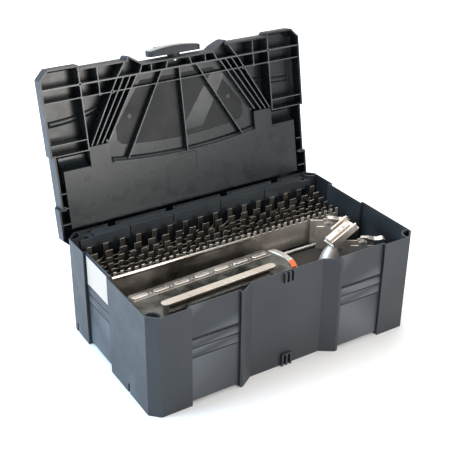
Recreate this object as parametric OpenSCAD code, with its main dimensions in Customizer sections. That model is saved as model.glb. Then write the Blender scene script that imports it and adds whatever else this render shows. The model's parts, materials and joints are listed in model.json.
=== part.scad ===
/* [Case] */
// Width of the case across its sides
case_w = 496; // [480:1:520]
// Depth of the case from front to back
case_d = 296; // [290:1:310]
// Height of the base from the floor to its rim
rim_h = 176; // [172:1:190]
// Height of the lid above the rim
lid_h = 35; // [34:1:40]
// Thickness of the moulded walls
wall = 3; // [2.5:0.1:3.5]
// Cut across each upright corner
corner_cut = 15; // [13:1:17]
// Depth of the sunk panels in the front and the sides
panel_depth = 5.5; // [4:0.5:6]
// Depth of the sunk middle of the front, which holds the latch
latch_bay_depth = 15; // [14:1:16]
// Height of the feet under the floor
foot_h = 4.5; // [3:0.5:6]

/* [Lid] */
// How far the lid stands open, from closed
lid_open = 100.5; // [60:0.5:104]
// Hinge line, measured in from the back face
hinge_in = 10.6; // [10:0.1:11]
// Hinge line, measured down from the rim
hinge_down = 18.4; // [18:0.1:19]
// Height of the upright part of the lid's side
lid_wall_h = 22; // [22:1:27]
// Thickness of the lid's ribs
rib_t = 2; // [1.4:0.1:2.4]
// Diameter of the steel hinge rods
rod_d = 5; // [4:0.5:5.5]

/* [Latch] */
// Length of the latch's cross bar
latch_bar = 100; // [90:1:110]
// Height of the latch spindle above the rim
latch_up = 18; // [17:0.5:19]
// Distance from the spindle to the claw
latch_reach = 41; // [40:0.5:42]

/* [Contents] */
// Number of notched blades
blade_count = 6; // [2:1:6]
// Length of a notched blade
blade_len = 458; // [420:1:460]
// Thickness of a notched blade
blade_t = 1; // [0.8:0.1:1.2]
// Distance from one blade to the next
blade_gap = 14.4; // [12:0.1:14.6]
// Length of the lift-out tray's deck
tray_len = 284; // [270:1:286]
// Height of the tray's deck above the floor
tray_top = 142; // [120:1:144]
// How far the tray lies turned in the case
tray_turn = 2.8; // [0:0.1:3]
// Length of the tray's bar handle
grip_len = 208; // [150:1:220]
// Number of clamp tabs on the tray's rear rail
tab_count = 7; // [3:1:7]

/* [Hidden] */
$fn = 48;
eps = 0.01;
half_w = case_w / 2;
half_d = case_d / 2;
gap = 0.3;
floor_t = 3;
floor_z = foot_h + floor_t;

// front of the case, as distances from the middle
bay_half = 67;
bay_slope_half = 90;
panel_in = 95;
panel_out = 180;
// side panels, which sit behind the middle
side_y0 = -8;
side_y1 = 79;
foot_rim = 14;
// Round foot under the middle
mid_foot_r = 30;
panel_grooves = [[115, 5, 2.2], [100, 1.8, 1.2], [83, 1.8, 1.2]];
// upright undercuts beside the sunk panels, which deepen above the first groove
undercut_w = 3;
undercut_in = wall - 0.8;
undercut_z = 120;

post_c = [half_w - corner_cut / 2, half_d - corner_cut / 2];
post_r = 15.5;
post_bore_r = 13;

hinge_y = half_d - hinge_in;
hinge_z = rim_h - hinge_down;
arm_x = [-165, -55, 55, 165];
arm_w = 13;
knuckle_r = 5;
rod_r = rod_d / 2;
rod_fit = 0.05;
bracket_y = 130.5;
bracket_h = 13.8;
ledge_half = 206;
ledge_end_w = 26;
ledge_y = 123.5;
ledge_z = 154;
ledge_top_z = rim_h - 1.4;
ledge_t = 2.2;
slit_x = [-142, -60, 35, 128];
stud_x = [-101, -12, 82];

lid_z = rim_h + gap;
lid_top = rim_h + lid_h;
deck_z = lid_top - 3;
lid_floor_z = deck_z - 2.5;
bevel_in = 11;
bevel_h = lid_h - lid_wall_h;
rib_z = rim_h + 1;
well_z = rim_h + 13;
well_t = 2.5;
well_top_z = well_z + well_t;
plate_lip = 1.4;
plate_top_z = well_top_z + 0.2;
well_wall = 2.4;
beam_y = -117;
rib_split_y = beam_y + 4;
cross_rib_y = -96;
long_rib_x = 181;
short_rib_x = 149;
lid_panel_z = rim_h + 4;
lid_panel_t = 2.4;
lid_panel_y = [21, 117];
lid_panel_half = 229;
diagonals = [[91, 157], [103.5, 166.5], [116, 175.5]];
diagonal_y = [beam_y, -15];

latch_z = rim_h + latch_up;
latch_face_y = -half_d + latch_bay_depth;
latch_back_y = latch_face_y - 6;
latch_front_y = latch_back_y - 8;
latch_dome = 5;
claw_y = latch_face_y - 2;
spindle_r = 4;

handle_y = -20;
handle_z = well_top_z + 9.5;
handle_half = 82;
handle_reach = 66;
handle_t = 11;
handle_pin_r = 3;
screw_at = [97, -48];

rack_x = [-200, 0, 200];
rack_w = 20;
rack_top_z = 112;
blade_foot_z = 96;
slot_clear = 0.35;
blade_y0 = 108;
blade_top = [164.5, 158, 153.5, 151, 149.5, 151];
blade_notches = [15, 17, 21, 25, 28, 36];
tooth_w = [9, 13, 10.5, 9, 8, 5.6];
tooth_h = [27, 19, 15, 12.5, 10.5, 8.5];
notch_r = [8, 3, 2.5, 2, 1.5, 0.6];
plate_y = 25.6;
plate_z = 150;
plate_fold = 2.5;

tray_c = [-86, -70];
tray_w = 104;
sheet = 1.2;
grip_z = 161;
grip_w = 14;
grip_t = 3;
grip_at = [-12, -20];
grip_end_x = grip_len / 2 - 7;
bow_c = [72, 15];
bow_r = 64;
trim_w = 10.5;
tab_pitch = (tray_len - 18) / tab_count - 0.5;
tab_mid_x = -7;
tab_y = tray_w / 2 - 13;
cradle = [76, -124, 232, 26];
cradle_z = 98;
rod_at = [80, 17, cradle_z + 3];
// each clamp: place, angle and the gap between its jaws
clamp_a = [188, 4, -31, 13.5];
clamp_b = [194.5, -82.5, -31, 8];
jaw_w = 50;
jaw_t = 2.5;
jaw_top = 146;
jaw_step = 4;
jaw_shift = 9.5;
lever_w = 13;
clamp_pin_x = -5;
clamp_pin_z = 147;
clamp_pin_r = 2;
head_at = [150, -52, 140];
head_tilt = -27;
head_len = 56;
socket_lean = 36;
socket_pin_r = 3;

plastic = [0.23, 0.26, 0.29];
dark_plastic = [0.12, 0.13, 0.15];
steel = [0.62, 0.59, 0.55];
dark_steel = [0.30, 0.29, 0.27];
orange = [0.90, 0.35, 0.12];

// ---- outlines ----

// The case seen from above, anticlockwise, set in by t all round
function case_half() = [
    [bay_half, latch_face_y],
    [bay_slope_half, -half_d],
    [panel_in, -half_d],
    [panel_in, -half_d + panel_depth],
    [panel_out, -half_d + panel_depth],
    [panel_out, -half_d],
    [half_w - corner_cut, -half_d],
    [half_w, -half_d + corner_cut],
    [half_w, side_y0],
    [half_w - panel_depth, side_y0],
    [half_w - panel_depth, side_y1],
    [half_w, side_y1],
    [half_w, half_d - corner_cut],
    [half_w - corner_cut, half_d]];

function mirrored(p) = [for (i = [len(p) - 1:-1:0]) [-p[i][0], p[i][1]]];

function unit(v) = v / norm(v);

function left_of(v) = [-v[1], v[0]];

function set_in(p, t) = [
    for (i = [0:len(p) - 1])
        let (
            n1 = left_of(unit(p[i] - p[(i + len(p) - 1) % len(p)])),
            n2 = left_of(unit(p[(i + 1) % len(p)] - p[i]))
        )
        p[i] + t * (n1 + n2) / (1 + n1 * n2)];

function case_outline(t = 0) = set_in(concat(case_half(), mirrored(case_half())), t);

// The well that the carrying handle lies in
function well_outline(t = 0) = set_in([
    [78, -113], [142, -17], [142, 34], [-142, 34], [-142, -17], [-78, -113]], t);

// The plate in the well's floor: straight flanks and a bowed lower edge
function plate_outline(t = 0) = set_in(concat(
    [[70, -104], [124, -34], [124, -12]],
    [for (a = [1:-0.25:-1]) [a * 116, 5 - 9 * a * a]],
    [[-124, -12], [-124, -34], [-70, -104]]), t);

module posts_2d(r) {
    for (sx = [-1, 1], sy = [-1, 1])
        translate([sx * post_c[0], sy * post_c[1]]) circle(r = r);
}

module cavity_2d(t) {
    difference() {
        polygon(case_outline(t));
        posts_2d(post_r);
    }
}

module rounded_2d(w, h, r) {
    square([w - 2 * r, h], center = true);
    square([w, h - 2 * r], center = true);
    for (sx = [-1, 1], sy = [-1, 1])
        translate([sx * (w / 2 - r), sy * (h / 2 - r)]) circle(r = r);
}

// A straight rib of thickness t between two points
module rib_2d(a, b, t = rib_t) {
    translate(a)
        rotate(atan2(b[1] - a[1], b[0] - a[0]))
        translate([0, -t / 2])
        square([norm(b - a), t]);
}

// Moves a shape drawn with the lid shut to where it is with the lid open
module with_lid() {
    translate([0, hinge_y, hinge_z])
        rotate([-lid_open, 0, 0])
        translate([0, -hinge_y, -hinge_z])
        children();
}

module along_x(len) {
    rotate([0, 90, 0]) rotate([0, 0, 90]) linear_extrude(len, center = true) children();
}

module along_y(len) {
    rotate([90, 0, 0]) linear_extrude(len, center = true) children();
}

// ---- base ----

module base_outer() {
    linear_extrude(rim_h) polygon(case_outline());
}

// Clears the underside and leaves feet at the corners and under the latch
module under_floor() {
    clear_h = foot_h + eps;
    translate([0, 0, -eps]) linear_extrude(clear_h) {
        difference() {
            square([case_w - 2 * foot_rim, case_d - 2 * (latch_bay_depth + foot_rim)], center = true);
            circle(r = mid_foot_r);
        }
        for (s = [-1, 1]) {
            translate([s * (panel_in + panel_out) / 2, 0])
                square([panel_out - panel_in, case_d + 2], center = true);
            translate([s * half_w, (side_y0 + side_y1) / 2])
                square([40, side_y1 - side_y0], center = true);
        }
    }
}

module front_grooves() {
    for (g = panel_grooves, s = [-1, 1])
        translate([s * (panel_in + panel_out) / 2, -half_d + panel_depth, g[0] + g[1] / 2])
            cube([panel_out - panel_in - 1, 2 * g[2], g[1]], center = true);
}

module side_grooves() {
    for (i = [1, 2], s = [-1, 1])
        let (g = panel_grooves[i])
        translate([s * (half_w - panel_depth), (side_y0 + side_y1) / 2, g[0] + g[1] / 2])
            cube([2 * g[2], side_y1 - side_y0 - 1, g[1]], center = true);
}

// Undercuts in the upright walls of the sunk panels
module undercuts() {
    for (z = [[0, undercut_z, undercut_in / 2], [undercut_z, rim_h - 3, undercut_in]], s = [-1, 1]) {
        for (x = [panel_in, panel_out])
            translate([s * x - z[2], -half_d + panel_depth - undercut_w, z[0]])
                cube([2 * z[2], undercut_w, z[1] - z[0]]);
        for (y = [side_y0, side_y1])
            translate([s * (half_w - panel_depth + undercut_w / 2) - undercut_w / 2, y - z[2], z[0]])
                cube([undercut_w, 2 * z[2], z[1] - z[0]]);
    }
}

// Sunk fields that stiffen the back wall
module back_fields() {
    for (x = [-150, 0, 150])
        translate([x, half_d, 76]) cube([120, 3, 100], center = true);
}

// Slots low in the sides, where a cleat joins a case underneath
module cleat_slots() {
    for (s = [-1, 1], y = [-70, 122])
        translate([s * half_w, y, 9]) cube([4, 5, 18 + 2 * eps], center = true);
}

module arm_notches() {
    for (x = arm_x)
        translate([x - arm_w / 2 - 1, half_d - wall - 1, hinge_z - 15])
            cube([arm_w + 2, wall + 2, 40]);
}

module base_shell() {
    color(plastic)
    difference() {
        base_outer();
        under_floor();
        translate([0, 0, floor_z]) linear_extrude(rim_h) cavity_2d(wall);
        translate([0, 0, rim_h - 2]) linear_extrude(4) cavity_2d(wall - 1.4);
        translate([0, 0, floor_z])
            linear_extrude(rim_h)
            intersection() {
                polygon(case_outline(wall));
                posts_2d(post_bore_r);
            }
        front_grooves();
        side_grooves();
        undercuts();
        back_fields();
        cleat_slots();
        arm_notches();
    }
}

// Ledge that hides the hinge, with a slotted front and closed ends
module hinge_ledge() {
    back_y = half_d - wall;
    color(plastic)
    difference() {
        union() {
            translate([-ledge_half, ledge_y, ledge_z])
                cube([2 * ledge_half, ledge_t, ledge_top_z - ledge_z]);
            translate([-ledge_half, ledge_y, ledge_top_z - ledge_t])
                cube([2 * ledge_half, hinge_y + 1.8 - ledge_y, ledge_t]);
            translate([-ledge_half, hinge_y, ledge_top_z - 2 - ledge_t])
                cube([2 * ledge_half, back_y - hinge_y, ledge_t]);
            for (s = [-1, 1])
                translate([s * (ledge_half + ledge_end_w / 2) - ledge_end_w / 2, ledge_y, ledge_z])
                    cube([ledge_end_w, back_y - ledge_y, ledge_top_z - ledge_z - 4]);
            for (x = stud_x)
                translate([x, ledge_y, 168]) cube([16, 1.6, 1.6], center = true);
        }
        linear_extrude(case_d) posts_2d(post_r);
        for (x = slit_x)
            translate([x, ledge_y, ledge_top_z - 9]) cube([1.6, 12, 30], center = true);
        for (s = [-1, 1])
            translate([s * (ledge_half + ledge_end_w / 2), ledge_y + 8, ledge_top_z - 5])
                cube([8, 8, 12], center = true);
        for (x = arm_x)
            translate([x - arm_w / 2 - 1, hinge_y + 1.9, ledge_z])
                cube([arm_w + 2, 20, 40]);
    }
}

// Blocks on both sides of each lid arm, which carry the rods
module hinge_brackets() {
    color(plastic)
    for (x = arm_x, s = [-1, 1])
        translate([x + s * (arm_w / 2 + 5), 0, 0])
        difference() {
            translate([-4, bracket_y, hinge_z - 7])
                cube([8, half_d - wall - bracket_y, bracket_h]);
            translate([0, hinge_y, hinge_z]) rotate([0, 90, 0]) cylinder(r = rod_r, h = 20, center = true);
        }
}

module hinge_rods() {
    reach = arm_w / 2 + 9;
    color(steel)
    for (i = [0, 2])
        translate([arm_x[i] - reach, hinge_y, hinge_z])
            rotate([0, 90, 0])
            cylinder(r = rod_r, h = arm_x[i + 1] - arm_x[i] + 2 * reach);
}

// A catch is three upright ribs that end in a curved ledge
module catch_ribs(z0, z1) {
    for (x = [-8, 0, 8])
        translate([x - 1.5, latch_face_y - 5.5, z0]) cube([3, 5.5, z1 - z0]);
}

module catch_ledge(centre_z, r) {
    translate([0, latch_face_y - 5.5 / 2, centre_z])
        along_y(5.5)
        difference() {
            circle(r = r);
            circle(r = r - 2.5);
            for (s = [-1, 1]) translate([s * 40 + s * 9.5, 0]) square([80, 200], center = true);
            translate([0, centre_z > 0 ? 50 : -50]) square([100, 100], center = true);
        }
}

module upper_catch() {
    ledge_r = latch_reach - 3;
    color(dark_plastic) {
        catch_ribs(latch_z - ledge_r + 1.2, rim_h - 1);
        catch_ledge(latch_z, ledge_r);
    }
}

module lower_catch() {
    below_z = latch_z - deck_z;
    ledge_r = latch_reach - 3;
    color(dark_plastic) {
        catch_ribs(1, below_z + ledge_r - 1.2);
        catch_ledge(below_z, ledge_r);
    }
}

module label_card() {
    color("white")
    translate([-half_w + panel_depth - 1.2, side_y0 + 3, 118.5])
        cube([1.2, side_y1 - side_y0 - 6, 53]);
}

// ---- lid ----

// Slices that slope the lid's top edge, moved in by t
module bevel_cut(reach, t) {
    translate([0, -reach + t, 0])
        along_x(case_w + 100)
        polygon([
            [-20, lid_top - bevel_h],
            [0, lid_top - bevel_h],
            [bevel_in, lid_top],
            [bevel_in * 3, lid_top + bevel_h * 2],
            [-20, lid_top + bevel_h * 2]]);
}

module lid_block(t, z0, z1) {
    diagonal_reach = (half_w + half_d - corner_cut) / sqrt(2);
    difference() {
        translate([0, 0, z0]) linear_extrude(z1 - z0) polygon(case_outline(t));
        for (a = [0, 180]) rotate(a) bevel_cut(half_d, t);
        for (a = [90, 270]) rotate(a) bevel_cut(half_w, t);
        for (a = [45, 135, 225, 315])
            rotate(a) bevel_cut(diagonal_reach, t);
    }
}

// Leaves a raised pad on each corner of the lid
module between_pads() {
    translate([0, 0, deck_z + 20]) {
        cube([2 * panel_out, case_d + 20, 40], center = true);
        translate([0, (side_y0 + side_y1) / 2, 0])
            cube([case_w + 20, side_y1 - side_y0, 40], center = true);
    }
}

module arm_profile() {
    difference() {
        union() {
            translate([hinge_y, hinge_z]) circle(r = knuckle_r);
            polygon([
                [hinge_y + 3.6, hinge_z - 3.4], [hinge_y + 8, hinge_z + 3], [half_d - 0.4, rim_h - 6],
                [half_d - 0.4, lid_z + 10], [half_d - 6.5, lid_z + 10], [half_d - 6.5, rim_h - 4],
                [hinge_y + 2.2, hinge_z + 7.5], [hinge_y - 3.2, hinge_z + 3.8]]);
        }
        translate([hinge_y, hinge_z]) circle(r = rod_r + rod_fit);
    }
}

// Clears the lid's rear edge of the base while it turns
module hinge_relief() {
    relief_r = norm([hinge_in, hinge_down]) + 0.4;
    intersection() {
        translate([0, hinge_y, hinge_z])
            rotate([0, 90, 0]) cylinder(r = relief_r, h = case_w + 10, center = true);
        translate([-half_w - 10, hinge_y - 12, hinge_z]) cube([case_w + 20, 52, 40]);
    }
}

module lid_shell() {
    color(plastic) with_lid()
    difference() {
        union() {
            difference() {
                lid_block(0, lid_z, lid_top);
                between_pads();
                lid_block(wall, lid_z - 1, lid_floor_z);
                hinge_relief();
            }
            translate([0, 0, well_z]) linear_extrude(deck_z - well_z) polygon(well_outline(-well_wall));
            for (x = arm_x) translate([x, 0, 0]) along_x(arm_w) arm_profile();
        }
        translate([0, 0, well_top_z]) linear_extrude(40) polygon(well_outline());
        translate([0, 0, well_z - 1]) linear_extrude(10) polygon(plate_outline());
        translate([0, 0, plate_top_z - plate_lip]) linear_extrude(5) polygon(plate_outline(-4.3));
        translate([0, latch_face_y, latch_z])
            rotate([90, 0, 0]) cylinder(r = spindle_r + rod_fit, h = 20, center = true);
    }
}

module lid_rib_lines() {
    for (s = [-1, 1]) {
        // side and corner grid
        rib_2d([s * 60, cross_rib_y], [s * half_w, cross_rib_y], 1.6);
        rib_2d([s * long_rib_x, -27], [s * half_w, -27], 1.6);
        rib_2d([s * long_rib_x, -9], [s * half_w, -9], 1.6);
        rib_2d([s * long_rib_x, -half_d], [s * long_rib_x, -9]);
        rib_2d([s * short_rib_x, -half_d], [s * short_rib_x, cross_rib_y], 1.6);
        // diagonal fans beside the well
        for (d = diagonals)
            rib_2d([s * d[0], diagonal_y[0]], [s * d[1], diagonal_y[1]], 1.8);
        rib_2d([s * 80, -116], [s * 143.5, -18], 2.2);
        rib_2d([s * 116, beam_y], [s * 93, -half_d], 1.8);
        // cells behind the latch
        rib_2d([s * 75, beam_y], [s * 68, latch_face_y], 1.8);
        rib_2d([s * 52, beam_y], [s * 52, latch_face_y], 1.6);
        rib_2d([s * 25, beam_y], [s * 20, latch_face_y], 1.8);
        // spokes over the well
        rib_2d([s * 33, beam_y], [s * 113, 20], 1.8);
        for (y = [54, 79, 106])
            rib_2d([s * (lid_panel_half + 1), y], [s * half_w, y], 1.6);
    }
    rib_2d([-60, cross_rib_y], [60, cross_rib_y], 1.2);
    rib_2d([0, beam_y], [0, 30], 1.8);
    rib_2d([-half_w, beam_y], [half_w, beam_y], 2.4);
}

module rib_bosses(r) {
    for (p = [[long_rib_x, beam_y], [127, cross_rib_y], [-127, cross_rib_y], [-long_rib_x, beam_y],
              [0, cross_rib_y], [lid_panel_half + 8, 79], [-lid_panel_half - 8, 79]])
        translate(p) circle(r = r);
}

// Ribs that stand in the part of the lid given by the child outline
module ribs_in() {
    color(plastic) with_lid()
    difference() {
        intersection() {
            lid_block(wall, rib_z, lid_floor_z);
            translate([0, 0, rib_z])
                linear_extrude(lid_h)
                intersection() {
                    children();
                    difference() {
                        union() {
                            lid_rib_lines();
                            rib_bosses(3.2);
                        }
                        rib_bosses(1.6);
                    }
                }
        }
        translate([0, 0, well_z]) linear_extrude(40) polygon(well_outline(-well_wall));
        translate([0, 0, rib_z - 1]) linear_extrude(60) polygon(lid_panel_outline());
        translate([0, latch_face_y, latch_z]) rotate([90, 0, 0]) cylinder(r = 9, h = 30, center = true);
    }
}

module front_ribs() {
    ribs_in() translate([-half_w, -half_d]) square([case_w, half_d + rib_split_y]);
}

module side_ribs(s) {
    ribs_in() difference() {
        translate([s > 0 ? 0 : -half_w, rib_split_y]) square([half_w, case_d]);
        polygon(well_outline(-well_wall));
    }
}

module left_ribs() side_ribs(-1);
module right_ribs() side_ribs(1);

module well_ribs() {
    color(plastic) with_lid()
    translate([0, 0, rib_z])
        linear_extrude(well_z - rib_z)
        difference() {
            intersection() {
                translate([-half_w, rib_split_y]) square([case_w, case_d]);
                polygon(well_outline(-well_wall + 0.1));
                lid_rib_lines();
            }
            polygon(lid_panel_outline(-0.1));
        }
}

// The smooth cover over the rear half of the lid, with two tabs and a bowed edge
function lid_panel_outline(t = 0) = set_in(concat(
    [[-lid_panel_half, lid_panel_y[1]], [-lid_panel_half, lid_panel_y[0]], [-180, lid_panel_y[0]],
     [-180, -13], [-143, -13]],
    [for (a = [-1:0.2:1]) [a * 143, 32 - 11 * a * a]],
    [[143, -13], [180, -13], [180, lid_panel_y[0]],
     [lid_panel_half, lid_panel_y[0]], [lid_panel_half, lid_panel_y[1]]]), t);

// The shoulder slopes from the panel to the lid's floor
module panel_shoulder() {
    x0 = long_rib_x + 0.2;
    translate([(x0 + lid_panel_half) / 2, 0, 0])
        along_x(lid_panel_half - x0)
        difference() {
            translate([lid_panel_y[0] - 21, lid_panel_z]) square([21, 20]);
            translate([lid_panel_y[0] - 21, lid_panel_z]) circle(r = 18.5);
        }
}

module lid_panel() {
    color(plastic) with_lid()
    difference() {
        union() {
            translate([0, 0, lid_panel_z])
                linear_extrude(lid_floor_z - lid_panel_z) polygon(lid_panel_outline());
            panel_shoulder();
            mirror([1, 0, 0]) panel_shoulder();
        }
        translate([0, 0, lid_panel_z + lid_panel_t])
            linear_extrude(60) polygon(lid_panel_outline(2));
        translate([0, 0, well_z - gap]) linear_extrude(60) polygon(well_outline(-well_wall - gap));
        translate([0, 0, lid_panel_z - 1]) linear_extrude(1.8) {
            translate([0, 54]) circle(r = 17);
            translate([-17, 20]) square([34, 34]);
        }
    }
}

// ---- handle on the outside of the lid ----

module handle_plate() {
    color(plastic) with_lid()
    difference() {
        union() {
            translate([0, 0, well_z]) linear_extrude(well_t) polygon(plate_outline(gap));
            translate([0, 0, plate_top_z - plate_lip]) linear_extrude(plate_lip) polygon(plate_outline(-3.9));
        }
        for (s = [-1, 1])
            translate([s * screw_at[0], screw_at[1], well_z - 1]) {
                cylinder(r = 2.1, h = 20);
                cylinder(r = 4.3, h = 2);
            }
    }
}

module handle_blocks() {
    z0 = plate_top_z;
    color(plastic) with_lid()
    for (s = [-1, 1])
        difference() {
            translate([s * screw_at[0] - 6, -56, z0]) cube([12, 45, handle_z + 5 - z0]);
            translate([s * screw_at[0], handle_y, handle_z])
                rotate([0, 90, 0]) cylinder(r = handle_pin_r, h = 20, center = true);
            translate([s * screw_at[0], screw_at[1], z0 - 1]) cylinder(r = 1.8, h = 10);
        }
}

module handle_screws() {
    color(dark_steel) with_lid()
    for (s = [-1, 1])
        translate([s * screw_at[0], screw_at[1], well_z])
        difference() {
            union() {
                cylinder(r = 4, h = 1);
                cylinder(r = 1.8, h = 8);
            }
            translate([0, 0, -1]) {
                cube([4.4, 1, 3], center = true);
                cube([1, 4.4, 3], center = true);
            }
        }
}

module handle_pins() {
    color(steel) with_lid()
    for (s = [-1, 1])
        translate([s * (handle_half + 6), handle_y, handle_z])
            rotate([0, 90, 0]) cylinder(r = handle_pin_r, h = 29, center = true);
}

module carry_handle() {
    bar = 12;
    color(plastic) with_lid()
    difference() {
        union() {
            translate([0, handle_y - handle_reach / 2, handle_z - handle_t / 2])
                linear_extrude(handle_t)
                difference() {
                    rounded_2d(2 * handle_half + bar - 4, handle_reach + 10, 14);
                    translate([0, bar]) rounded_2d(2 * handle_half - bar - 4, handle_reach + 8, 8);
                    translate([0, handle_reach / 2 + 40]) square([400, 80], center = true);
                }
            for (s = [-1, 1])
                translate([s * (handle_half - 2), handle_y, handle_z])
                    rotate([0, 90, 0]) cylinder(r = handle_t / 2, h = bar, center = true);
        }
        translate([0, handle_y, handle_z])
            rotate([0, 90, 0]) cylinder(r = handle_pin_r + rod_fit, h = 300, center = true);
    }
}

// ---- latch on the lid's front ----

// Slice of a drum that bows the bar's outer face, above its flat ends
module latch_dome_cut(t) {
    bow_r = (pow(latch_bar / 2, 2) + pow(latch_dome, 2)) / (2 * latch_dome);
    translate([0, latch_front_y + bow_r - latch_dome - t, 0])
        cylinder(r = bow_r, h = 60, center = true, $fn = 180);
}

module latch_bar_2d(less) {
    rounded_2d(latch_bar - less, 25 - less, 10 - less / 2);
}

module latch_lever() {
    color(plastic) with_lid()
    difference() {
        translate([0, 0, latch_z]) {
            translate([0, (latch_back_y + latch_front_y) / 2, 0])
                along_y(latch_back_y - latch_front_y) {
                    latch_bar_2d(0);
                    translate([0, (latch_reach + 4) / 2]) rounded_2d(34, latch_reach + 4, 6);
                }
            intersection() {
                translate([0, latch_front_y, 0]) along_y(2 * latch_dome) latch_bar_2d(0);
                latch_dome_cut(0);
            }
            translate([0, (latch_face_y - gap + latch_back_y) / 2, 0])
                rotate([90, 0, 0]) cylinder(r = 11, h = latch_face_y - gap - latch_back_y, center = true);
            translate([0, (latch_back_y + claw_y) / 2, 0])
                along_y(claw_y - latch_back_y + eps)
                intersection() {
                    difference() {
                        circle(r = latch_reach + 2);
                        circle(r = latch_reach - 2.6);
                    }
                    translate([-9, 0]) square([18, 80]);
                }
        }
        translate([0, latch_face_y, latch_z])
            rotate([90, 0, 0]) cylinder(r = spindle_r, h = 31, center = true);
        latch_inlay_body();
    }
}

module latch_inlay_body() {
    translate([0, 0, latch_z])
        intersection() {
            difference() {
                translate([0, latch_front_y - 4, 0]) along_y(12) latch_bar_2d(7);
                translate([0, latch_front_y + 10 - 1, 0]) cube([200, 20, 40], center = true);
            }
            latch_dome_cut(0.8);
        }
}

module latch_inlay() {
    color("gray") with_lid() latch_inlay_body();
}

module latch_spindle() {
    inner_y = latch_face_y + wall + gap;
    color(steel) with_lid()
    translate([0, 0, latch_z]) {
        translate([0, (inner_y + latch_face_y - 15) / 2, 0])
            rotate([90, 0, 0]) cylinder(r = spindle_r, h = inner_y - latch_face_y + 15, center = true);
        translate([0, inner_y + 1.5, 0]) rotate([90, 0, 0]) cylinder(r = 7, h = 3, center = true);
    }
}

// ---- blades and their rack ----

module rack_slots() {
    slot = blade_t + 2 * slot_clear;
    for (i = [0:blade_count - 1])
        translate([-half_w, blade_y0 - i * blade_gap - slot / 2, blade_foot_z])
            cube([case_w, slot, 60]);
    translate([-half_w, plate_y - slot / 2, blade_foot_z]) cube([case_w, slot, 60]);
}

module blade_rack() {
    y0 = 18;
    y1 = 118;
    color(dark_plastic)
    difference() {
        union() {
            for (x = rack_x)
                translate([x - rack_w / 2, y0 + (x > 100 ? 12 : 0), floor_z])
                    cube([rack_w, y1 - y0 - (x > 100 ? 12 : 0), rack_top_z - floor_z]);
            translate([rack_x[0], 50, floor_z]) cube([rack_x[2] - rack_x[0], 50, 4]);
        }
        rack_slots();
    }
}

// Points of a notch from right to left, with its two lower corners rounded
function notch_points(x, w, top, depth, r) =
    let (steps = r > 5 ? 6 : 2, low = top - depth + r)
    concat(
        [[x + w / 2, top]],
        [for (i = [0:steps]) [x + w / 2 - r + r * cos(i * 90 / steps), low - r * sin(i * 90 / steps)]],
        [for (i = [0:steps]) [x - w / 2 + r - r * sin(i * 90 / steps), low - r * cos(i * 90 / steps)]],
        [[x - w / 2, top]]);

function blade_points(i) =
    let (
        top = blade_top[i],
        count = blade_notches[i],
        pitch = (blade_len - tooth_w[i]) / count
    )
    concat(
        [[-blade_len / 2, blade_foot_z], [blade_len / 2, blade_foot_z], [blade_len / 2, top]],
        [for (k = [count - 1:-1:0])
            let (x = (k - (count - 1) / 2) * pitch)
            each notch_points(x, pitch - tooth_w[i], top, tooth_h[i], notch_r[i])],
        [[-blade_len / 2, top]]);

module notched_blade(i) {
    color(i == 5 ? steel : dark_steel)
    translate([0, blade_y0 - i * blade_gap, 0]) along_y(blade_t) polygon(blade_points(i));
}

module blade_1() notched_blade(0);
module blade_2() notched_blade(1);
module blade_3() notched_blade(2);
module blade_4() notched_blade(3);
module blade_5() notched_blade(4);
module blade_6() notched_blade(5);

// Plain blade with a folded top edge and a clipped corner
module smooth_blade() {
    color(steel) {
        translate([0, plate_y, 0])
            along_y(blade_t)
            polygon([[-228, blade_foot_z], [60, blade_foot_z], [58, 118], [53, 137], [33, plate_z],
                     [-228, plate_z]]);
        translate([-228, plate_y - blade_t / 2, plate_z - 1]) cube([261, plate_fold, 1]);
    }
}

// ---- lift-out tray ----

module with_tray() {
    translate([tray_c[0], tray_c[1], 0]) rotate(tray_turn) children();
}

module tray_box() {
    l = tray_len - 16;
    w = tray_w - 10;
    h = tray_top - floor_z - sheet - gap;
    color(steel) with_tray()
    translate([0, 0, floor_z + gap])
    difference() {
        linear_extrude(h) rounded_2d(l, w, 8);
        translate([0, 0, sheet]) linear_extrude(h) rounded_2d(l - 2 * sheet, w - 2 * sheet, 8 - sheet);
    }
}

// The deck's right end bows outwards
module deck_2d(r) {
    intersection() {
        rounded_2d(tray_len, tray_w, 13);
        union() {
            translate(bow_c) circle(r = r, $fn = 96);
            translate([-tray_len, -tray_w]) square([tray_len + bow_c[0], 2 * tray_w]);
        }
    }
}

module tray_deck() {
    color(dark_steel) with_tray()
    translate([0, 0, tray_top - sheet])
        linear_extrude(sheet)
        difference() {
            deck_2d(bow_r);
            for (s = [-1, 1]) translate([grip_at[0] + s * grip_end_x, grip_at[1]]) circle(r = 2.1);
        }
}

module tray_rail() {
    color(steel) with_tray()
    translate([0, 0, tray_top])
        linear_extrude(1.4)
        intersection() {
            deck_2d(bow_r);
            translate([-tray_len / 2 + 8, tray_w / 2 - 21]) square([tray_len - 24, 21]);
        }
}

module tray_tabs() {
    color(steel) with_tray()
    for (i = [0:tab_count - 1])
        translate([tab_mid_x + (i - (tab_count - 1) / 2) * tab_pitch, tab_y, tray_top + 1.4])
            linear_extrude(2.4) rounded_2d(27, 8.5, 3.5);
}

module tray_rivets() {
    color(steel) with_tray()
    for (i = [1:tab_count - 1])
        translate([tab_mid_x + (i - tab_count / 2) * tab_pitch, tab_y, tray_top + 1.4])
            cylinder(r = 1.8, h = 1);
}

// Bright strip that follows the bowed end
module tray_trim() {
    color("silver") with_tray()
    translate([0, 0, tray_top - sheet])
        linear_extrude(sheet + 1.6)
        difference() {
            intersection() {
                translate(bow_c) circle(r = bow_r + trim_w, $fn = 96);
                translate([bow_c[0] + 40, bow_c[1] - 40]) square([bow_r, 70]);
            }
            translate(bow_c) circle(r = bow_r, $fn = 96);
        }
}

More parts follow.
